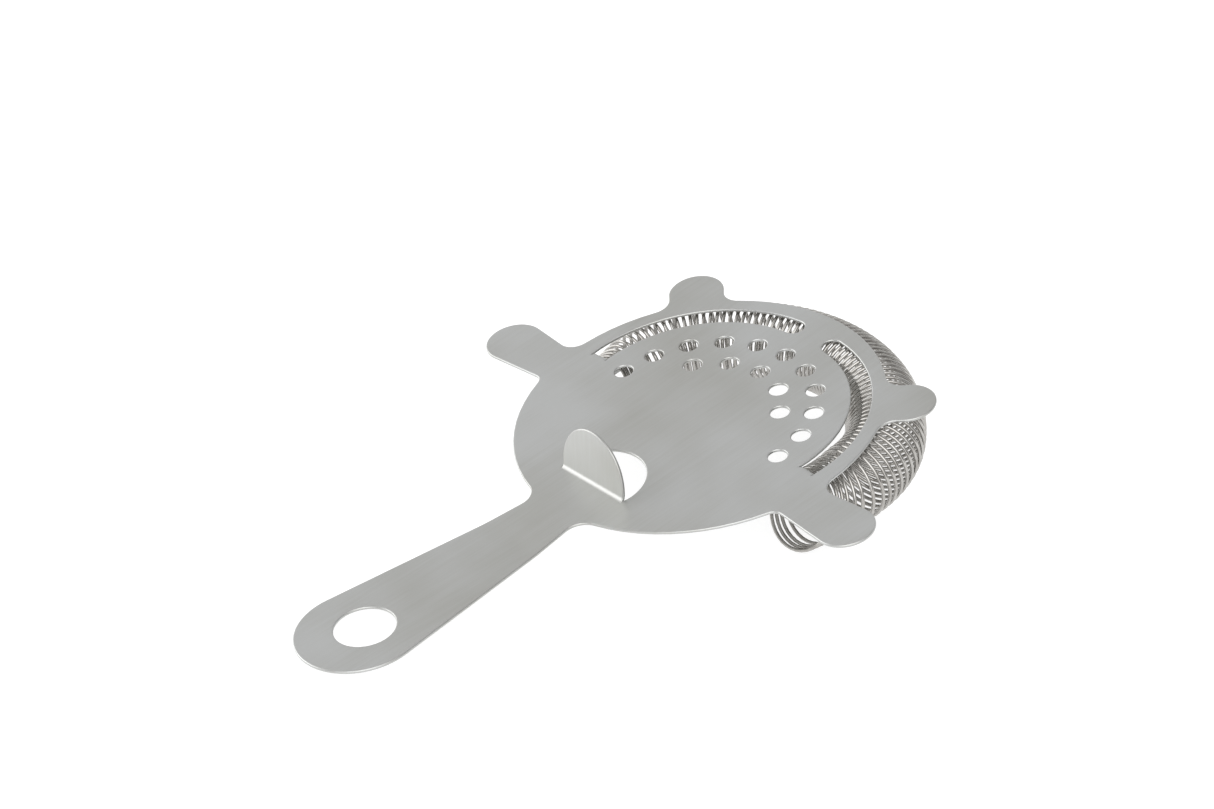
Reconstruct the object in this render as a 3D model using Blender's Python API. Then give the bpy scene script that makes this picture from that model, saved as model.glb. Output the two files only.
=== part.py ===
"""Hawthorne cocktail strainer: one stamped steel plate and the coil spring that it carries.

The plate is drawn flat, in its own frame, the way it is blanked from sheet: X runs from the
handle to the front, Y to the left, Z up, and the origin is on the top face at the disc's centre.
The blank is then bent: the handle a little up, the finger tab up, and two tongues down into the
coil. At the end the whole strainer is tilted the way it rests on a table, on the handle's end
and on the coil's two tails, with the middle of its footprint at the world's origin.
"""

import math

import bmesh
import bpy

MM = 0.001
DEG = math.pi / 180

# Sheet and disc
SHEET = 0.8 * MM
DISC_RADIUS = 45.0 * MM

# Round-ended lugs: (tip centre x, tip centre y, tip radius, heading, flare, inner and outer fillet)
FRONT_EAR_REACH = 50.0 * MM
FRONT_EAR_ANGLE = 49.5 * DEG
FRONT_EAR_RADIUS = 6.9 * MM
FRONT_EAR_FLARE = 2.0 * DEG
FRONT_EAR_FILLET = 4.5 * MM
SIDE_EAR_X = -8.3 * MM
SIDE_EAR_Y = 60.1 * MM
SIDE_EAR_RADIUS = 7.2 * MM
SIDE_EAR_FLARE = 5.0 * DEG
SIDE_EAR_FRONT_FILLET = 4.0 * MM
SIDE_EAR_REAR_FILLET = 2.5 * MM
HANDLE_END_X = -103.6 * MM
HANDLE_END_RADIUS = 15.2 * MM
HANDLE_FLARE = 7.4 * DEG
HANDLE_FILLET = 5.0 * MM
HANG_HOLE_X = -101.9 * MM
HANG_HOLE_RADIUS = 7.3 * MM

# Handle bend
HANDLE_BEND_X = -57.0 * MM
HANDLE_BEND_ANGLE = 3.2 * DEG
HANDLE_BEND_LENGTH = 4.0 * MM

# Perforations, on two rings round the front half of the disc
HOLE_RADIUS = 2.35 * MM
OUTER_RING = 28.0 * MM
OUTER_RING_HOLES = 11
OUTER_RING_PITCH = 18.0 * DEG
INNER_RING = 19.7 * MM
INNER_RING_HOLES = 5
INNER_RING_PITCH = 26.7 * DEG

# Slots, each a quarter of a ring, and the tongues left standing at their rear ends
SLOT_CENTRE_X = 3.05 * MM
SLOT_CENTRE_Y = 3.65 * MM
SLOT_RING = 34.1 * MM
SLOT_HALF_WIDTH = 2.5 * MM
SLOT_ROOT_ANGLE = 95.2 * DEG
SLOT_TIP_ANGLE = 5.2 * DEG
TONGUE_HALF_WIDTH = 2.25 * MM
TONGUE_LENGTH = 13.5 * MM
TONGUE_DEPTH = 5.1 * MM
TONGUE_SLOPE = 88.0 * DEG
TONGUE_BEND_RADIUS = 0.8 * MM

# Finger tab, cut free round a half circle, bent up and stretched a little as it is formed
TAB_BASE_X = -34.5 * MM
TAB_CENTRE_X = -31.5 * MM
TAB_RADIUS = 11.0 * MM
TAB_CUT = 0.2 * MM
TAB_STRETCH = 1.065
TAB_ANGLE = 78.6 * DEG
TAB_BEND_RADIUS = 1.6 * MM

# Coil spring: the tops of its turns lie along a front arc, two tighter corner arcs and two tails
WIRE_RADIUS = 0.45 * MM
COIL_RADIUS = 9.25 * MM
COIL_GAP = 0.3 * MM
FRONT_REACH = 42.8 * MM
FRONT_RADIUS = 43.9 * MM
FRONT_HALF_ANGLE = 47.8 * DEG
CORNER_RADIUS = 22.4 * MM
TAIL_ANGLE = 105.7 * DEG
FRONT_PITCH = 1.775 * MM
FRONT_HALF_TURNS = 32
TAIL_PITCH = 1.27 * MM
TAIL_TURNS = 6
SEGMENTS_PER_TURN = 10

# Turns near the tails, hooked by their tops on the tongues: they swing round to face rearward, sink
# a little, and their lower sides are pushed back; each grows between two distances from the front
SWING = 18.4 * DEG
SWING_START = 46.8 * MM
SWING_END = 62.5 * MM
SINK = 1.8 * MM
SINK_START = 53.0 * MM
SINK_END = 61.1 * MM
LEAN = 34.4 * DEG
LEAN_START = 52.8 * MM
LEAN_END = 61.4 * MM

ARC_STEP = 5.0 * DEG
HOLE_SEGMENTS = 20
BEND_SEGMENTS = 4
STEEL = {"Metallic": 1.0, "Roughness": 0.38}


def clear_scene():
    """Empty the scene and make one collection for the strainer's parts."""
    for obj in list(bpy.data.objects):
        bpy.data.objects.remove(obj, do_unlink=True)
    parts = bpy.data.collections.new("hawthorne_strainer")
    bpy.context.scene.collection.children.link(parts)
    return parts


def steel(name, colour, roughness):
    """A plain stainless steel material."""
    material = bpy.data.materials.new(name)
    material.use_nodes = True
    shader = material.node_tree.nodes["Principled BSDF"]
    shader.inputs["Base Color"].default_value = (*colour, 1.0)
    shader.inputs["Metallic"].default_value = STEEL["Metallic"]
    shader.inputs["Roughness"].default_value = roughness
    return material


def arc(centre, radius, start, end, segments=0):
    """Points along an arc from angle start to angle end, both ends included."""
    count = segments or max(2, math.ceil(abs(end - start) / ARC_STEP))
    points = []
    for i in range(count + 1):
        angle = start + (end - start) * i / count
        points.append((centre[0] + radius * math.cos(angle), centre[1] + radius * math.sin(angle)))
    return points


def clockwise(start, end):
    """The end angle, shifted by whole turns so that the arc from start to it runs clockwise."""
    return start - (start - end) % math.tau


def lug(tip, tip_radius, heading, flare, right_fillet, left_fillet):
    """Outline of a lug that grows out of the disc, and the disc angles where it starts and ends.

    The two sides are straight lines touching the tip circle. They lean apart by flare each, and
    a fillet joins each of them to the disc.
    """
    fillets = []
    for turn, fillet in ((-1, right_fillet), (1, left_fillet)):
        out = heading + turn * flare
        normal = out + turn * math.pi / 2
        offset = math.cos(normal) * tip[0] + math.sin(normal) * tip[1] + tip_radius
        run = math.sqrt((DISC_RADIUS + fillet) ** 2 - (offset + fillet) ** 2)
        x = math.cos(normal) * (offset + fillet) + math.cos(out) * run
        y = math.sin(normal) * (offset + fillet) + math.sin(out) * run
        fillets.append(((x, y), fillet, normal, math.atan2(y, x)))
    (right, right_radius, right_normal, start), (left, left_radius, left_normal, end) = fillets
    into_right = start + math.pi
    into_left = left_normal + math.pi
    outline = arc(right, right_radius, into_right, clockwise(into_right, right_normal + math.pi))
    outline += arc(tip, tip_radius, right_normal, right_normal + math.pi + 2 * flare)
    outline += arc(left, left_radius, into_left, clockwise(into_left, end + math.pi))
    return outline, start % math.tau, end % math.tau


def plate_outline():
    """The blank's outer edge, counter-clockwise: the disc with four ears and the handle."""
    front = (FRONT_EAR_REACH * math.cos(FRONT_EAR_ANGLE), FRONT_EAR_REACH * math.sin(FRONT_EAR_ANGLE))
    front_shape = (FRONT_EAR_RADIUS, FRONT_EAR_FLARE, FRONT_EAR_FILLET)
    lugs = [
        lug(front, front_shape[0], FRONT_EAR_ANGLE, front_shape[1], front_shape[2], front_shape[2]),
        lug(
            (SIDE_EAR_X, SIDE_EAR_Y), SIDE_EAR_RADIUS, math.pi / 2,
            SIDE_EAR_FLARE, SIDE_EAR_FRONT_FILLET, SIDE_EAR_REAR_FILLET,
        ),
        lug((HANDLE_END_X, 0.0), HANDLE_END_RADIUS, math.pi, HANDLE_FLARE, HANDLE_FILLET, HANDLE_FILLET),
        lug(
            (SIDE_EAR_X, -SIDE_EAR_Y), SIDE_EAR_RADIUS, -math.pi / 2,
            SIDE_EAR_FLARE, SIDE_EAR_REAR_FILLET, SIDE_EAR_FRONT_FILLET,
        ),
        lug(
            (front[0], -front[1]), front_shape[0], -FRONT_EAR_ANGLE,
            front_shape[1], front_shape[2], front_shape[2],
        ),
    ]
    points = []
    disc_angle = lugs[-1][2] - math.tau
    for outline, start, end in lugs:
        points += arc((0.0, 0.0), DISC_RADIUS, disc_angle, start)[1:-1]
        points += outline
        disc_angle = end
    return points


def ring_strip(half_width, tip_angle, side):
    """Edge of a curved strip on the slot ring, from its outer root round its tip to its inner root.

    The strip starts at the slot's rear end and runs forward; side is +1 on the left, -1 on the right.
    """
    centre = (SLOT_CENTRE_X, SLOT_CENTRE_Y)
    tip_x = SLOT_CENTRE_X + SLOT_RING * math.cos(tip_angle)
    tip_y = SLOT_CENTRE_Y + SLOT_RING * math.sin(tip_angle)
    points = arc(centre, SLOT_RING + half_width, SLOT_ROOT_ANGLE, tip_angle)
    points += arc((tip_x, tip_y), half_width, tip_angle, tip_angle - math.pi)[1:-1]
    points += arc(centre, SLOT_RING - half_width, tip_angle, SLOT_ROOT_ANGLE)
    return [(x, side * y) for x, y in points]


def slot_edge(side):
    """Edge of one slot, with its tongue standing inside it from the rear end."""
    slot = ring_strip(SLOT_HALF_WIDTH, SLOT_TIP_ANGLE, side)
    tongue_angle = SLOT_ROOT_ANGLE - (TONGUE_LENGTH - TONGUE_HALF_WIDTH) / SLOT_RING
    tongue = ring_strip(TONGUE_HALF_WIDTH, tongue_angle, side)
    return slot + tongue[::-1]


def tab_edge():
    """Edge of the narrow cut that frees the finger tab from the disc."""
    quarter = math.pi / 2
    centre = (TAB_CENTRE_X, 0.0)
    hole_radius = TAB_RADIUS + TAB_CUT
    cut = [(TAB_BASE_X, hole_radius)] + arc(centre, hole_radius, quarter, -quarter)
    cut += [(TAB_BASE_X, -hole_radius), (TAB_BASE_X, -TAB_RADIUS)]
    cut += arc(centre, TAB_RADIUS, -quarter, quarter) + [(TAB_BASE_X, TAB_RADIUS)]
    return cut


def round_hole(x, y, radius, segments=HOLE_SEGMENTS):
    """Edge of a round hole."""
    return arc((x, y), radius, 0.0, math.tau, segments)[:-1]


def perforations():
    """Edges of the drain holes on both rings."""
    edges = []
    rings = (
        (OUTER_RING, OUTER_RING_HOLES, OUTER_RING_PITCH),
        (INNER_RING, INNER_RING_HOLES, INNER_RING_PITCH),
    )
    for ring, count, pitch in rings:
        for i in range(count):
            angle = (i - (count - 1) / 2) * pitch
            edges.append(round_hole(ring * math.cos(angle), ring * math.sin(angle), HOLE_RADIUS))
    return edges


def flat_blank(parts):
    """The blank as a closed mesh object, cut from sheet whose top face is at Z = 0."""
    edges = [plate_outline(), tab_edge(), slot_edge(1), slot_edge(-1)]
    edges.append(round_hole(HANG_HOLE_X, 0.0, HANG_HOLE_RADIUS, 2 * HOLE_SEGMENTS))
    edges += perforations()
    curve = bpy.data.curves.new("blank_outline", "CURVE")
    curve.dimensions = "2D"
    curve.fill_mode = "BOTH"
    curve.extrude = SHEET / 2
    for edge in edges:
        spline = curve.splines.new("POLY")
        spline.points.add(len(edge) - 1)
        for point, (x, y) in zip(spline.points, edge):
            point.co = (x, y, 0.0, 1.0)
        spline.use_cyclic_u = True
    outline = bpy.data.objects.new("blank_outline", curve)
    parts.objects.link(outline)
    depsgraph = bpy.context.evaluated_depsgraph_get()
    mesh = bpy.data.meshes.new_from_object(outline.evaluated_get(depsgraph))
    mesh.name = "strainer_plate"
    mesh.materials.clear()
    plate = bpy.data.objects.new("strainer_plate", mesh)
    plate.matrix_world = outline.matrix_world.copy()
    parts.objects.link(plate)
    bpy.data.objects.remove(outline, do_unlink=True)
    return plate


def bent(distance, height, runs):
    """Follow the sheet's middle line for a distance through runs of (length, turn).

    Returns how far along and how far up a point ends that sits height above the middle line.
    """
    along = 0.0
    rise = 0.0
    heading = 0.0
    for length, turn in runs:
        part = min(distance, length)
        turned = turn * part / length
        chord = part if abs(turned) < 1e-9 else 2 * math.sin(turned / 2) * part / turned
        along += chord * math.cos(heading + turned / 2)
        rise += chord * math.sin(heading + turned / 2)
        heading += turned
        distance -= part
        if distance <= 0:
            break
    return along - height * math.sin(heading), rise + height * math.cos(heading)


def bend_lines(runs):
    """Distances along the sheet where it needs an edge to take the bends in runs."""
    lines = []
    place = 0.0
    for length, turn in runs[:-1]:
        steps = 1 if turn == 0 else BEND_SEGMENTS
        lines += [place + length * (i + 1) / steps for i in range(steps)]
        place += length
    return lines


def cut(bm, point, normal, inside=None):
    """Cut the mesh's faces along a plane; inside picks the faces by their middle point."""
    faces = [f for f in bm.faces if inside is None or inside(f.calc_center_median())]
    edges = {e for f in faces for e in f.edges}
    verts = {v for f in faces for v in f.verts}
    bmesh.ops.bisect_plane(
        bm, geom=[*verts, *edges, *faces], dist=1e-7, plane_co=point, plane_no=normal
    )


def merge_flat_faces(bm):
    """Merge neighbouring faces that lie in one plane."""
    bmesh.ops.dissolve_limit(bm, angle_limit=0.05 * DEG, verts=bm.verts, edges=bm.edges)


def bend_handle(bm):
    """Bend the handle up behind its bend line."""
    runs = ((HANDLE_BEND_LENGTH, HANDLE_BEND_ANGLE), (1.0, 0.0))
    for distance in [0.0] + bend_lines(runs):
        cut(bm, (HANDLE_BEND_X - distance, 0, 0), (1, 0, 0))
    for v in bm.verts:
        if v.co.x < HANDLE_BEND_X:
            along, rise = bent(HANDLE_BEND_X - v.co.x, v.co.z, runs)
            v.co.x = HANDLE_BEND_X - along
            v.co.z = rise


def in_tab(point):
    """True for points of the flat finger tab."""
    edge = TAB_RADIUS + TAB_CUT / 2
    beside = abs(point.y) < edge and TAB_BASE_X - 1e-6 < point.x <= TAB_CENTRE_X
    return beside or (point.x > TAB_CENTRE_X and math.hypot(point.x - TAB_CENTRE_X, point.y) < edge)


def bend_tab(bm):
    """Bend the finger tab up from its base line."""
    runs = ((TAB_BEND_RADIUS * TAB_ANGLE, TAB_ANGLE), (1.0, 0.0))
    cut(bm, (TAB_BASE_X, 0, 0), (1, 0, 0))
    for distance in bend_lines(runs):
        cut(bm, (TAB_BASE_X + distance / TAB_STRETCH, 0, 0), (1, 0, 0), in_tab)
    for v in [v for v in bm.verts if in_tab(v.co)]:
        along, rise = bent(max(0.0, v.co.x - TAB_BASE_X) * TAB_STRETCH, v.co.z, runs)
        v.co.x = TAB_BASE_X + along
        v.co.z = rise


def tongue_runs():
    """The tongue's bends: down at the root, a straight drop, and level again inside the coil."""
    bend = TONGUE_BEND_RADIUS * TONGUE_SLOPE
    rounded_drop = 2 * TONGUE_BEND_RADIUS * (1 - math.cos(TONGUE_SLOPE))
    drop = (TONGUE_DEPTH - rounded_drop) / math.sin(TONGUE_SLOPE)
    return ((bend, -TONGUE_SLOPE), (drop, 0.0), (bend, TONGUE_SLOPE), (1.0, 0.0))


def along_slot(point, side):
    """Distance along the slot ring from its root, and distance from the ring's middle line."""
    x = point.x - SLOT_CENTRE_X
    y = side * point.y - SLOT_CENTRE_Y
    return (SLOT_ROOT_ANGLE - math.atan2(y, x)) * SLOT_RING, math.hypot(x, y) - SLOT_RING


def bend_tongue(bm, side):
    """Bend one tongue down into the coil, along its own ring."""
    runs = tongue_runs()
    edge = (SLOT_HALF_WIDTH + TONGUE_HALF_WIDTH) / 2
    centre = (SLOT_CENTRE_X, side * SLOT_CENTRE_Y, 0)

    def in_tongue(point):
        distance, offset = along_slot(point, side)
        return abs(offset) < edge and side * point.y > 0 and -1e-6 < distance < TONGUE_LENGTH + 1e-3

    for distance in [0.0] + bend_lines(runs):
        angle = SLOT_ROOT_ANGLE - distance / SLOT_RING
        across = (-math.sin(angle), side * math.cos(angle), 0)
        cut(bm, centre, across, in_tongue if distance else None)
    for v in [v for v in bm.verts if in_tongue(v.co)]:
        distance, offset = along_slot(v.co, side)
        along, rise = bent(max(0.0, distance), v.co.z, runs)
        angle = SLOT_ROOT_ANGLE - along / SLOT_RING
        v.co.x = SLOT_CENTRE_X + (SLOT_RING + offset) * math.cos(angle)
        v.co.y = side * (SLOT_CENTRE_Y + (SLOT_RING + offset) * math.sin(angle))
        v.co.z = rise


def make_plate(parts):
    """The one-piece plate: disc, ears, handle, finger tab and tongues."""
    plate = flat_blank(parts)
    bm = bmesh.new()
    bm.from_mesh(plate.data)
    bmesh.ops.remove_doubles(bm, verts=bm.verts, dist=1e-6)
    merge_flat_faces(bm)
    bend_handle(bm)
    bend_tab(bm)
    bend_tongue(bm, 1)
    bend_tongue(bm, -1)
    for v in bm.verts:
        v.co.z -= SHEET / 2
    merge_flat_faces(bm)
    bmesh.ops.triangulate(bm, faces=bm.faces)
    bmesh.ops.recalc_face_normals(bm, faces=bm.faces)
    bm.to_mesh(plate.data)
    bm.free()
    plate.data.shade_smooth()
    plate.data.set_sharp_from_angle(angle=30 * DEG)
    plate.data.materials.append(steel("brushed_steel", (0.44, 0.45, 0.43), STEEL["Roughness"]))
    return plate


def spring_line(s):
    """Point and outward angle of the line along the turns' tops, s along it from the front middle."""
    front = FRONT_RADIUS * FRONT_HALF_ANGLE
    corner = CORNER_RADIUS * (TAIL_ANGLE - FRONT_HALF_ANGLE)
    front_x = FRONT_REACH - FRONT_RADIUS
    side = -1 if s < 0 else 1
    s = abs(s)
    if s <= front:
        angle = s / FRONT_RADIUS
        x = front_x + FRONT_RADIUS * math.cos(angle)
        y = FRONT_RADIUS * math.sin(angle)
    else:
        angle = min(FRONT_HALF_ANGLE + (s - front) / CORNER_RADIUS, TAIL_ANGLE)
        tail = max(0.0, s - front - corner)
        inset = FRONT_RADIUS - CORNER_RADIUS
        x = front_x + inset * math.cos(FRONT_HALF_ANGLE) + CORNER_RADIUS * math.cos(angle)
        y = inset * math.sin(FRONT_HALF_ANGLE) + CORNER_RADIUS * math.sin(angle)
        x -= tail * math.sin(angle)
        y += tail * math.cos(angle)
    return x, side * y, side * angle


def turn_lengths():
    """How far each turn of the coil advances, from the left tail's end to the right tail's end."""
    half = [TAIL_PITCH] * TAIL_TURNS + [FRONT_PITCH] * FRONT_HALF_TURNS
    return half + half[::-1]


def growth(value, start, end):
    """0 before start, 1 after end, and a smooth rise in between."""
    t = min(max((value - start) / (end - start), 0.0), 1.0)
    return t * t * (3 - 2 * t)


def coil_points():
    """The wire's middle line, turn by turn round the coil, which hangs just under the plate."""
    s = sum(turn_lengths()) / 2
    points = []
    for length in turn_lengths():
        for i in range(SEGMENTS_PER_TURN):
            turn = math.tau * i / SEGMENTS_PER_TURN
            points.append(coil_point(s - length * i / SEGMENTS_PER_TURN, turn))
        s -= length
    points.append(coil_point(s, 0.0))
    return points


def coil_point(s, turn):
    """One point of the wire; each turn starts at the coil's top and goes outward first."""
    x, y, outward = spring_line(s)
    side = math.copysign(1, s)
    swung = outward - side * SWING * growth(abs(s), SWING_START, SWING_END)
    sink = SINK * growth(abs(s), SINK_START, SINK_END)
    lean = LEAN * growth(abs(s), LEAN_START, LEAN_END)
    out = COIL_RADIUS * math.sin(turn)
    below = COIL_RADIUS * (1 - math.cos(turn))
    back = below * math.sin(lean)
    return (
        x + out * math.cos(swung) - side * back * math.sin(swung),
        y + out * math.sin(swung) + side * back * math.cos(swung),
        -SHEET - COIL_GAP - WIRE_RADIUS - sink - below * math.cos(lean),
    )


def make_spring(parts):
    """The coil spring: one round wire."""
    points = coil_points()
    curve = bpy.data.curves.new("coil_spring", "CURVE")
    curve.dimensions = "3D"
    curve.bevel_depth = WIRE_RADIUS
    curve.bevel_resolution = 2
    curve.use_fill_caps = True
    spline = curve.splines.new("POLY")
    spline.points.add(len(points) - 1)
    for point, (x, y, z) in zip(spline.points, points):
        point.co = (x, y, z, 1.0)
    curve.materials.append(steel("spring_steel", (0.55, 0.54, 0.52), 0.22))
    spring = bpy.data.objects.new("coil_spring", curve)
    parts.objects.link(spring)
    return spring


def rest_tilt():
    """Pitch of the resting strainer: it stands on the handle's end and the coil's lowest turns."""
    handle_length = -HANDLE_BEND_X + HANDLE_END_X - HANDLE_END_RADIUS
    along, rise = bent(-handle_length, -SHEET / 2, ((HANDLE_BEND_LENGTH, HANDLE_BEND_ANGLE), (1.0, 0.0)))
    end_x = HANDLE_BEND_X - along
    end_z = rise - SHEET / 2
    return max(math.atan2(end_z - z + WIRE_RADIUS, x - end_x) for x, _, z in coil_points())


def stand_on_table(parts, objects):
    """Hang the parts under one empty, tilted to rest, with its box centred over the origin."""
    rest = bpy.data.objects.new("rest_frame", None)
    parts.objects.link(rest)
    rest.rotation_euler = (0.0, -rest_tilt(), 0.0)
    for obj in objects:
        obj.parent = rest
    bpy.context.view_layer.update()
    depsgraph = bpy.context.evaluated_depsgraph_get()
    corners = []
    for obj in objects:
        mesh = obj.evaluated_get(depsgraph).to_mesh()
        corners += [obj.matrix_world @ v.co for v in mesh.vertices]
    low = [min(c[i] for c in corners) for i in range(3)]
    high = [max(c[i] for c in corners) for i in range(3)]
    rest.location = (-(low[0] + high[0]) / 2, -(low[1] + high[1]) / 2, -low[2])
    bpy.context.view_layer.update()
    return rest


def main():
    """Build the strainer."""
    parts = clear_scene()
    plate = make_plate(parts)
    spring = make_spring(parts)
    stand_on_table(parts, [plate, spring])


main()
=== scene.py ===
"""Visual model of the hawthorne strainer: brushed plate with tumbled edges, and the bright wire coil.

Lengths are in metres. The plate's own frame has its origin on the top face at the disc's centre,
X towards the front, Y to the left and Z up; rest_matrix() places that frame on the table.
"""

import math

import bmesh
import bpy
from mathutils import Matrix, Vector


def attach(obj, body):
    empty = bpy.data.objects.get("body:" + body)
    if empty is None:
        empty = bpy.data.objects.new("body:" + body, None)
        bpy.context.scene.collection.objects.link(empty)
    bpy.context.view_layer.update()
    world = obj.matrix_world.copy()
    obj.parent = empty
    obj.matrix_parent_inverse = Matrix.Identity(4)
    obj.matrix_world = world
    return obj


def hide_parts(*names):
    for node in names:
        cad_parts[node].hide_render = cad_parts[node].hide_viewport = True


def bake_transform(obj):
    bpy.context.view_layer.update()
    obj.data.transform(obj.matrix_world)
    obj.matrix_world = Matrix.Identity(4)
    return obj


MM = 0.001
DEG = math.pi / 180

# Where the plate's own frame stands on the table
REST_TILT = 10.9928 * DEG
REST_ORIGIN = (31.7245 * MM, 0.0, 20.1482 * MM)

# The plate's sheet, the rounding of its cut edges, and what counts as a cut edge or a cut face
SHEET = 0.8 * MM
EDGE_WIDTH = 0.3 * MM
EDGE_SEGMENTS = 3
SHORTEST_EDGE = 0.21 * MM
LOWEST_EDGE = -SHEET - 0.05 * MM
EDGE_ANGLE = 40 * DEG
FLAT_ANGLE = 0.3 * DEG
WELD_DISTANCE = 0.001 * MM
WALL_ANGLE = 60 * DEG
WALL_AREA = 30 * MM * MM
WALL_WIDTH = 1.05 * SHEET
SMOOTH_ANGLE = 50 * DEG

# Coil spring, the same wire, path and turns as the solid one
WIRE_RADIUS = 0.45 * MM
COIL_RADIUS = 9.25 * MM
COIL_GAP = 0.3 * MM
FRONT_REACH = 42.8 * MM
FRONT_RADIUS = 43.9 * MM
FRONT_HALF_ANGLE = 47.8 * DEG
CORNER_RADIUS = 22.4 * MM
TAIL_ANGLE = 105.7 * DEG
FRONT_PITCH = 1.775 * MM
FRONT_HALF_TURNS = 32
TAIL_PITCH = 1.27 * MM
TAIL_TURNS = 6
SWING = 18.4 * DEG
SWING_START = 46.8 * MM
SWING_END = 62.5 * MM
SINK = 1.8 * MM
SINK_START = 53.0 * MM
SINK_END = 61.1 * MM
LEAN = 34.4 * DEG
LEAN_START = 52.8 * MM
LEAN_END = 61.4 * MM
STEPS_PER_TURN = 36

# Darkest and lightest colour of each steel finish
BRUSHED_DARK = (0.445, 0.445, 0.423)
BRUSHED_LIGHT = (0.53, 0.537, 0.532)
# The edges' colours are lighter than the sheet's: partly their tumbled polish, partly a painted
# highlight along the rims
EDGE_HIGHLIGHT_DARK = (0.64, 0.64, 0.68)
EDGE_HIGHLIGHT_LIGHT = (0.74, 0.74, 0.79)
WIRE_DARK = (0.37, 0.355, 0.335)
WIRE_LIGHT = (0.48, 0.47, 0.45)

# Camera: what it looks at, where it stands from there, and its lens
CAMERA_TARGET = (28.734 * MM, 31.15 * MM, 10.672 * MM)
CAMERA_DISTANCE = 1.0633
CAMERA_HEADING = 51.483 * DEG
CAMERA_ELEVATION = 29.216 * DEG
CAMERA_ROLL = -2.204 * DEG
CAMERA_LENS = 129.95
CAMERA_SENSOR = 36.0

# Light: a plain sky, lighter beyond the strainer than behind the camera, with two large round soft
# boxes in it. The sky changes, and a box fades, between two cosines of the angle from its middle
SKY_BEYOND = 0.77
SKY_BEHIND = 0.22
SKY_COSINES = (-0.6, 0.5)
BOX_COSINES = (0.67, 0.96)
KEY_HEADING = 231.0 * DEG
KEY_ELEVATION = 38.0 * DEG
KEY_STRENGTH = 2.3
SIDE_HEADING = 125.0 * DEG
SIDE_ELEVATION = 12.0 * DEG
SIDE_STRENGTH = 2.0

# White table, lit from within
FLOOR_HALF_SIZE = 6.0
FLOOR_DROP = 0.2 * MM
FLOOR_GREY = 0.3
FLOOR_GLOW = 0.85


def new_material(name):
    """A new material that uses nodes: returns it, its node tree and its Principled shader."""
    material = bpy.data.materials.new(name)
    material.use_nodes = True
    tree = material.node_tree
    return material, tree, tree.nodes["Principled BSDF"]


def node(tree, kind, **settings):
    """A node with its properties and input values set; input names are given with underscores."""
    made = tree.nodes.new(kind)
    for key, value in settings.items():
        if hasattr(made, key):
            setattr(made, key, value)
        else:
            made.inputs[key.replace("_", " ")].default_value = value
    return made


def object_noise(tree, scale, detail):
    """Noise in the piece's own space, so that it stays put on the piece in every view."""
    coordinates = node(tree, "ShaderNodeTexCoord")
    noise = node(tree, "ShaderNodeTexNoise", Scale=scale, Detail=detail)
    tree.links.new(coordinates.outputs["Object"], noise.inputs["Vector"])
    return noise.outputs["Fac"]


def streaks(tree, along, across, detail, offset=0.0):
    """Noise drawn out along the sheet's brushing direction, which is U of the sheet's own map."""
    uv = node(tree, "ShaderNodeUVMap", uv_map="sheet")
    mapping = node(tree, "ShaderNodeMapping", Location=(offset, offset, 0.0), Scale=(along, across, 1.0))
    noise = node(tree, "ShaderNodeTexNoise", Scale=1.0, Detail=detail, Roughness=0.6)
    tree.links.new(uv.outputs["UV"], mapping.inputs["Vector"])
    tree.links.new(mapping.outputs["Vector"], noise.inputs["Vector"])
    return noise.outputs["Fac"]


def remap(tree, value, low, high, to_low, to_high):
    """A value's range carried over to another range."""
    made = node(tree, "ShaderNodeMapRange")
    made.inputs["From Min"].default_value = low
    made.inputs["From Max"].default_value = high
    made.inputs["To Min"].default_value = to_low
    made.inputs["To Max"].default_value = to_high
    tree.links.new(value, made.inputs["Value"])
    return made.outputs["Result"]


def maths(tree, operation, a, b):
    """A maths node on two values, each a socket or a number."""
    made = node(tree, "ShaderNodeMath", operation=operation)
    for socket, value in zip(made.inputs, (a, b)):
        if isinstance(value, (int, float)):
            socket.default_value = value
        else:
            tree.links.new(value, socket)
    return made.outputs["Value"]


def blend_values(tree, a, share_a, b, share_b):
    """Two value sockets added up, each times its share."""
    return maths(tree, "ADD", maths(tree, "MULTIPLY", a, share_a), maths(tree, "MULTIPLY", b, share_b))


def mix_colour(tree, factor, a, b):
    """Two colours mixed by a factor socket."""
    made = node(tree, "ShaderNodeMix", data_type="RGBA")
    made.inputs[6].default_value = (*a, 1.0)
    made.inputs[7].default_value = (*b, 1.0)
    tree.links.new(factor, made.inputs[0])
    return made.outputs[2]


def brushed_steel():
    """Stainless sheet, finely brushed along the handle, with faint cloudy patches."""
    material, tree, shader = new_material("brushed_steel")
    shader.inputs["Metallic"].default_value = 1.0
    shader.inputs["Anisotropic"].default_value = 0.45
    fine = streaks(tree, 70.0, 4200.0, 3.0)
    broad = streaks(tree, 28.0, 900.0, 2.0, 3.7)
    cloud = object_noise(tree, 30.0, 2.5)
    lines = blend_values(tree, fine, 0.62, broad, 0.38)
    tone = remap(tree, blend_values(tree, lines, 0.35, cloud, 0.65), 0.38, 0.62, 0.0, 1.0)
    colour = mix_colour(tree, tone, BRUSHED_DARK, BRUSHED_LIGHT)
    tree.links.new(colour, shader.inputs["Base Color"])
    tree.links.new(remap(tree, lines, 0.3, 0.7, 0.35, 0.41), shader.inputs["Roughness"])
    bump = node(tree, "ShaderNodeBump", Strength=0.12, Distance=0.05 * MM)
    tree.links.new(lines, bump.inputs["Height"])
    tree.links.new(bump.outputs["Normal"], shader.inputs["Normal"])
    tangent = node(tree, "ShaderNodeTangent", direction_type="UV_MAP", uv_map="sheet")
    tree.links.new(tangent.outputs["Tangent"], shader.inputs["Tangent"])
    return material


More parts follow.
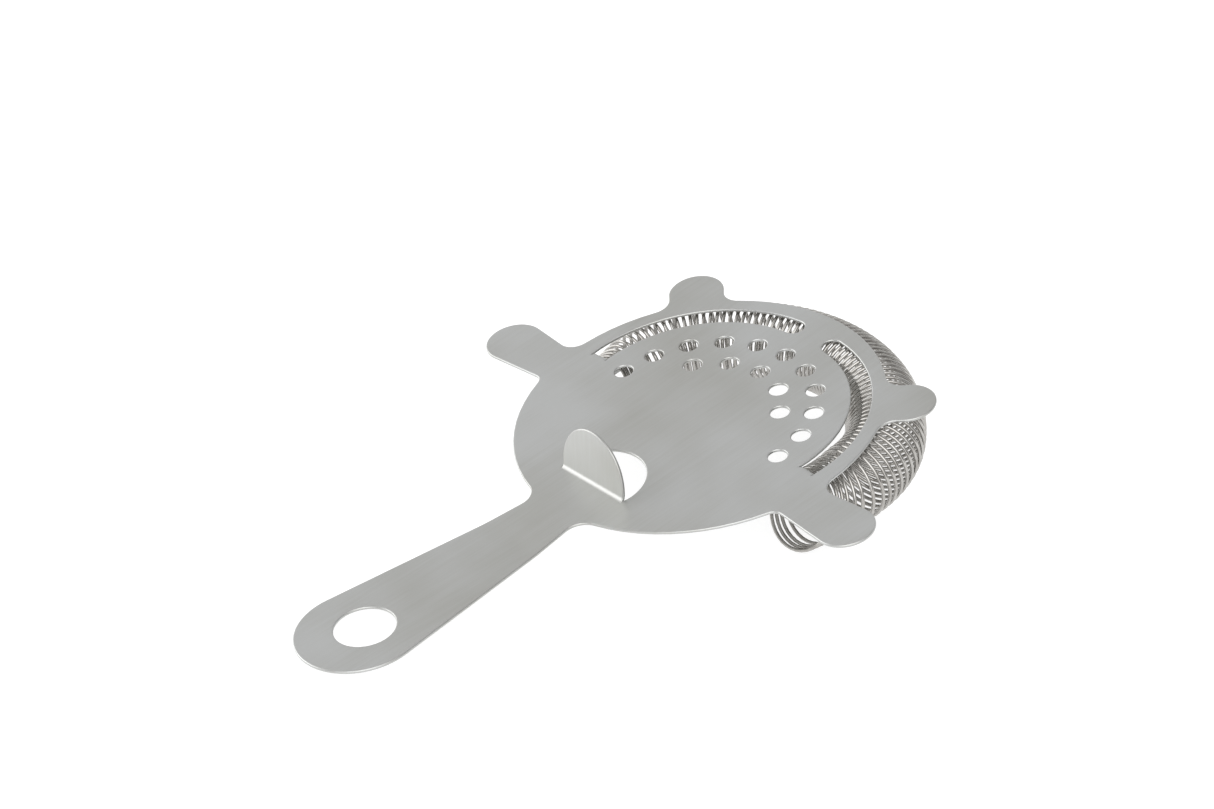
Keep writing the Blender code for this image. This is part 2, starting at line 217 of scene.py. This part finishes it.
def spotted_steel(name, noise_scale, noise_detail, colours, roughness):
    """Plain stainless whose colour and roughness vary a little in small spots."""
    material, tree, shader = new_material(name)
    shader.inputs["Metallic"].default_value = 1.0
    spots = object_noise(tree, noise_scale, noise_detail)
    colour = mix_colour(tree, remap(tree, spots, 0.35, 0.65, 0.0, 1.0), *colours)
    tree.links.new(colour, shader.inputs["Base Color"])
    tree.links.new(remap(tree, spots, 0.3, 0.7, *roughness), shader.inputs["Roughness"])
    return material


def tumbled_edge_and_highlight():
    """The sheet's cut edges and walls, rounded and polished by tumbling, with small dull spots; their
    colour is lighter than the sheet's, partly from the polish and partly as a painted highlight along
    the rims.
    """
    return spotted_steel("tumbled_edge_and_highlight", 900.0, 3.0, (EDGE_HIGHLIGHT_DARK, EDGE_HIGHLIGHT_LIGHT), (0.2, 0.32))


def drawn_wire():
    """Bright drawn stainless wire, slightly dull in patches."""
    return spotted_steel("drawn_wire", 420.0, 4.0, (WIRE_DARK, WIRE_LIGHT), (0.12, 0.22))


def direction(heading, elevation):
    """Unit vector of a heading round Z, from X towards Y, and an elevation above the table."""
    level = math.cos(elevation)
    return Vector((level * math.cos(heading), level * math.sin(heading), math.sin(elevation)))


def rest_matrix():
    """Carries the plate's own frame to where it rests on the table."""
    return Matrix.Translation(REST_ORIGIN) @ Matrix.Rotation(-REST_TILT, 4, "Y")


def make_plate(solid):
    """The stamped plate: the solid's own shape, with rounded edges and a map laid along the sheet."""
    mesh = solid.data.copy()
    mesh.name = "stamped_plate"
    bm = bmesh.new()
    bm.from_mesh(mesh)
    bmesh.ops.remove_doubles(bm, verts=bm.verts, dist=WELD_DISTANCE)
    bmesh.ops.dissolve_limit(bm, angle_limit=FLAT_ANGLE, verts=bm.verts, edges=bm.edges)
    to_sheet = rest_matrix().inverted()
    # Cut walls and the rounded rims take the second material, whose lighter colour is partly a painted
    # highlight
    for face in bm.faces:
        face.material_index = 1 if is_wall(face) else 0
    rims = [edge for edge in bm.edges if is_rim(edge, to_sheet)]
    bmesh.ops.bevel(
        bm, geom=rims, offset=EDGE_WIDTH, offset_type="OFFSET", segments=EDGE_SEGMENTS, profile=0.5,
        affect="EDGES", material=1, clamp_overlap=False,
    )
    for face in bm.faces:
        face.smooth = True
    sheet = bm.loops.layers.uv.new("sheet")
    for face in bm.faces:
        for loop in face.loops:
            point = to_sheet @ loop.vert.co
            loop[sheet].uv = (point.x + point.z, point.y)
    normals = corner_normals(bm)
    bm.to_mesh(mesh)
    bm.free()
    mesh.normals_split_custom_set(normals)
    mesh.materials.clear()
    mesh.materials.append(brushed_steel())
    mesh.materials.append(tumbled_edge_and_highlight())
    plate = bpy.data.objects.new("stamped_plate", mesh)
    bpy.context.scene.collection.objects.link(plate)
    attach(plate, "plate")
    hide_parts("strainer_plate")


def corner_normals(bm):
    """A normal for every face corner: faces that meet smoothly share one, and the larger face rules."""
    normals = []
    limit = math.cos(SMOOTH_ANGLE)
    weights = {face: face.calc_area() ** 2 for face in bm.faces}
    for face in bm.faces:
        for loop in face.loops:
            total = Vector()
            for other in loop.vert.link_faces:
                if other.normal.dot(face.normal) > limit:
                    total += other.normal * weights[other]
            normals.append(total.normalized())
    return normals


def is_wall(face):
    """True for the narrow faces cut through the sheet, which are one sheet thickness across."""
    if face.calc_area() > WALL_AREA:
        return False
    longest = max(edge.calc_length() for edge in face.edges)
    sharp = sum(edge.calc_face_angle(0.0) > WALL_ANGLE for edge in face.edges)
    return sharp >= 2 and face.calc_area() / longest < WALL_WIDTH


def is_rim(edge, to_sheet):
    """True for the sheet's cut edges, except the shortest ones and those of the bent-down tongues."""
    lowest = min((to_sheet @ vertex.co).z for vertex in edge.verts)
    long_enough = edge.calc_length() > SHORTEST_EDGE
    return edge.calc_face_angle(0.0) > EDGE_ANGLE and long_enough and lowest > LOWEST_EDGE


def spring_line(s):
    """Point and outward angle of the line along the turns' tops, s along it from the front middle."""
    front = FRONT_RADIUS * FRONT_HALF_ANGLE
    corner = CORNER_RADIUS * (TAIL_ANGLE - FRONT_HALF_ANGLE)
    front_x = FRONT_REACH - FRONT_RADIUS
    side = -1 if s < 0 else 1
    s = abs(s)
    if s <= front:
        angle = s / FRONT_RADIUS
        x = front_x + FRONT_RADIUS * math.cos(angle)
        y = FRONT_RADIUS * math.sin(angle)
    else:
        angle = min(FRONT_HALF_ANGLE + (s - front) / CORNER_RADIUS, TAIL_ANGLE)
        tail = max(0.0, s - front - corner)
        inset = FRONT_RADIUS - CORNER_RADIUS
        x = front_x + inset * math.cos(FRONT_HALF_ANGLE) + CORNER_RADIUS * math.cos(angle)
        y = inset * math.sin(FRONT_HALF_ANGLE) + CORNER_RADIUS * math.sin(angle)
        x -= tail * math.sin(angle)
        y += tail * math.cos(angle)
    return x, side * y, side * angle


def turn_lengths():
    """How far each turn of the coil advances, from the left tail's end to the right tail's end."""
    half = [TAIL_PITCH] * TAIL_TURNS + [FRONT_PITCH] * FRONT_HALF_TURNS
    return half + half[::-1]


def growth(value, start, end):
    """0 before start, 1 after end, and a smooth rise in between."""
    t = min(max((value - start) / (end - start), 0.0), 1.0)
    return t * t * (3 - 2 * t)


def coil_point(s, turn):
    """One point of the wire; each turn starts at the coil's top and goes outward first."""
    x, y, outward = spring_line(s)
    side = math.copysign(1, s)
    swung = outward - side * SWING * growth(abs(s), SWING_START, SWING_END)
    sink = SINK * growth(abs(s), SINK_START, SINK_END)
    lean = LEAN * growth(abs(s), LEAN_START, LEAN_END)
    out = COIL_RADIUS * math.sin(turn)
    below = COIL_RADIUS * (1 - math.cos(turn))
    back = below * math.sin(lean)
    return (
        x + out * math.cos(swung) - side * back * math.sin(swung),
        y + out * math.sin(swung) + side * back * math.cos(swung),
        -SHEET - COIL_GAP - WIRE_RADIUS - sink - below * math.cos(lean),
    )


def wound_length(turns, lengths):
    """Length wound after a number of turns, with the pitch changing smoothly from turn to turn."""
    whole = min(int(turns), len(lengths) - 1)
    t = turns - whole
    step = lengths[whole]
    before = lengths[max(whole - 1, 0)]
    after = lengths[min(whole + 1, len(lengths) - 1)]
    start_slope = 2 * before * step / (before + step)
    end_slope = 2 * after * step / (after + step)
    rise = (3 * t * t - 2 * t ** 3) * step
    rise += (t ** 3 - 2 * t * t + t) * start_slope + (t ** 3 - t * t) * end_slope
    return sum(lengths[:whole]) + rise


def make_spring():
    """The coil spring as one fine round wire, held by the plate at its tails and free at its front."""
    lengths = turn_lengths()
    half = sum(lengths) / 2
    count = len(lengths) * STEPS_PER_TURN
    curve = bpy.data.curves.new("wire_path", "CURVE")
    curve.dimensions = "3D"
    curve.bevel_depth = WIRE_RADIUS
    curve.bevel_resolution = 4
    curve.use_fill_caps = True
    spline = curve.splines.new("POLY")
    spline.points.add(count)
    for i, point in enumerate(spline.points):
        turns = i / STEPS_PER_TURN
        point.co = (*coil_point(half - wound_length(turns, lengths), math.tau * turns), 1.0)
    path = bpy.data.objects.new("wire_path", curve)
    bpy.context.scene.collection.objects.link(path)
    mesh = bpy.data.meshes.new_from_object(path.evaluated_get(bpy.context.evaluated_depsgraph_get()))
    bpy.data.objects.remove(path, do_unlink=True)
    mesh.name = "wound_spring"
    mesh.transform(rest_matrix())
    mesh.shade_smooth()
    mesh.materials.append(drawn_wire())
    spring = bpy.data.objects.new("wound_spring", mesh)
    bpy.context.scene.collection.objects.link(spring)
    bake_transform(spring)
    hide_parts("coil_spring")


def make_camera():
    """The camera, looking at the strainer from behind its right side."""
    data = bpy.data.cameras.new("camera")
    data.lens = CAMERA_LENS
    data.sensor_width = CAMERA_SENSOR
    data.clip_start = 0.05
    camera = bpy.data.objects.new("camera", data)
    bpy.context.scene.collection.objects.link(camera)
    back = direction(CAMERA_HEADING + math.pi, CAMERA_ELEVATION)
    level = (-back).to_track_quat("-Z", "Y").to_matrix()
    turn = level @ Matrix.Rotation(CAMERA_ROLL, 3, "Z")
    place = Vector(CAMERA_TARGET) + back * CAMERA_DISTANCE
    camera.matrix_world = Matrix.Translation(place) @ turn.to_4x4()
    bpy.context.scene.camera = camera


def facing(tree, towards, heading, elevation):
    """Cosine of the angle between a direction socket and a fixed direction of the room."""
    made = node(tree, "ShaderNodeVectorMath", operation="DOT_PRODUCT")
    made.inputs[1].default_value = direction(heading, elevation)
    tree.links.new(towards, made.inputs[0])
    return made.outputs["Value"]


def soft_box(tree, towards, heading, elevation, strength):
    """A round soft box in the sky: full in its middle, fading out about 48 degrees away from it."""
    return remap(tree, facing(tree, towards, heading, elevation), *BOX_COSINES, 0.0, strength)


def make_sky():
    """Soft studio light from all round, with one soft box behind the camera and one to its left."""
    world = bpy.data.worlds.new("studio")
    bpy.context.scene.world = world
    world.use_nodes = True
    tree = world.node_tree
    background = tree.nodes["Background"]
    towards = node(tree, "ShaderNodeTexCoord").outputs["Generated"]
    beyond = facing(tree, towards, CAMERA_HEADING, 0.0)
    level = remap(tree, beyond, *SKY_COSINES, SKY_BEHIND, SKY_BEYOND)
    key = soft_box(tree, towards, KEY_HEADING, KEY_ELEVATION, KEY_STRENGTH)
    side = soft_box(tree, towards, SIDE_HEADING, SIDE_ELEVATION, SIDE_STRENGTH)
    level = maths(tree, "ADD", maths(tree, "ADD", level, key), side)
    background.inputs["Color"].default_value = (1.0, 1.0, 1.0, 1.0)
    tree.links.new(level, background.inputs["Strength"])


def make_floor():
    """A plain white table, lit from within so that it stays pale under the strainer."""
    mesh = bpy.data.meshes.new("floor")
    bm = bmesh.new()
    bmesh.ops.create_grid(bm, x_segments=1, y_segments=1, size=FLOOR_HALF_SIZE)
    bm.to_mesh(mesh)
    bm.free()
    material, _, shader = new_material("white_table")
    shader.inputs["Base Color"].default_value = (FLOOR_GREY, FLOOR_GREY, FLOOR_GREY, 1.0)
    shader.inputs["Roughness"].default_value = 0.9
    shader.inputs["Emission Color"].default_value = (1.0, 1.0, 1.0, 1.0)
    shader.inputs["Emission Strength"].default_value = FLOOR_GLOW
    mesh.materials.append(material)
    floor = bpy.data.objects.new("floor", mesh)
    floor.location.z = -FLOOR_DROP
    bpy.context.scene.collection.objects.link(floor)


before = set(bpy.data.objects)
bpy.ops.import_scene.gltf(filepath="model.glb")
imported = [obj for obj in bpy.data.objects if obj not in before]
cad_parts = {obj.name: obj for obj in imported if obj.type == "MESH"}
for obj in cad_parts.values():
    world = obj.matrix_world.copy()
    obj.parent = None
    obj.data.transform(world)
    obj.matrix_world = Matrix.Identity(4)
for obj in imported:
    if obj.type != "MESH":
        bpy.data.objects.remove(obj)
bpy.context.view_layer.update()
bpy.context.scene.view_settings.view_transform = "Standard"
make_camera()
make_sky()
make_floor()
make_plate(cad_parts["strainer_plate"])
make_spring()
bpy.context.view_layer.update()
